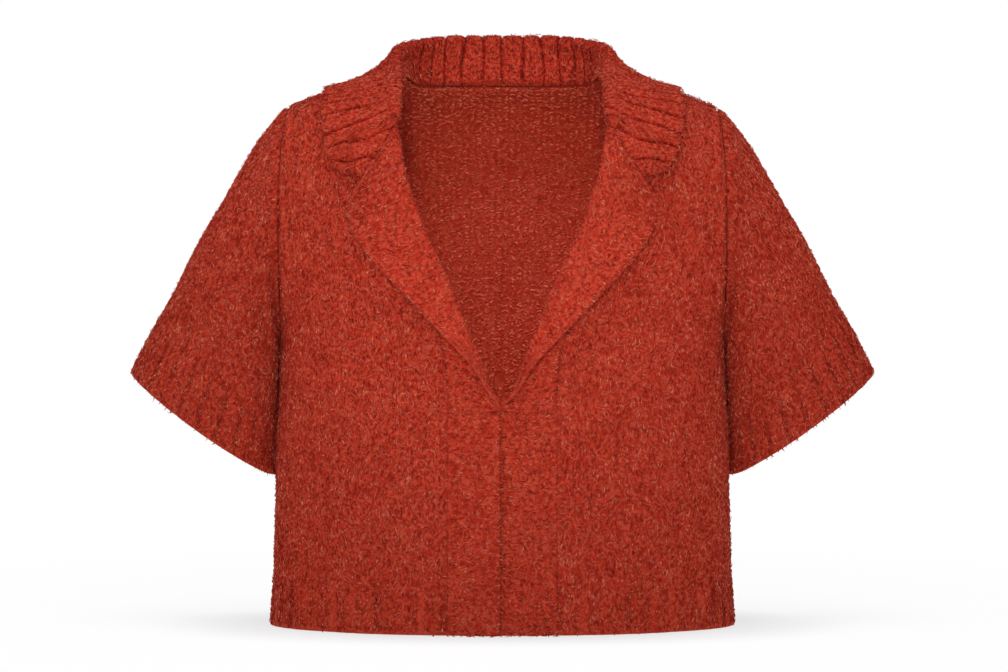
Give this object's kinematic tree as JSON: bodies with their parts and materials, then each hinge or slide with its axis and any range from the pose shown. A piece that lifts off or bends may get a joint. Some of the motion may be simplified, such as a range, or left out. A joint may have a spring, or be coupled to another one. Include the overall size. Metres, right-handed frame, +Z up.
{
  "type": "cardigan",
  "caption": "Short-sleeved cropped knitted cardigan with a ribbed roll collar, lapels and lapped front bands, hollow and filled out as worn.",
  "frame": {"origin": "between the shoulders, level with the neck of the shoulder seams, where a wearer carries the garment", "axes": "+Z up, the front faces -Y, and +X is towards the wearer's left sleeve"},
  "size_m": [0.7468, 0.2194, 0.5955],
  "materials": {
    "knit": "fuzzy marled knit, matt",
    "rib_knit": "fuzzy marled rib knit, matt"
  },
  "bodies": {
    "root": {"back": "knit", "front_right": "knit", "front_left": "knit", "sleeve_right": "knit", "sleeve_left": "knit", "collar": "rib_knit", "band_right": "knit", "band_left": "knit"}
  },
  "joints": []
}
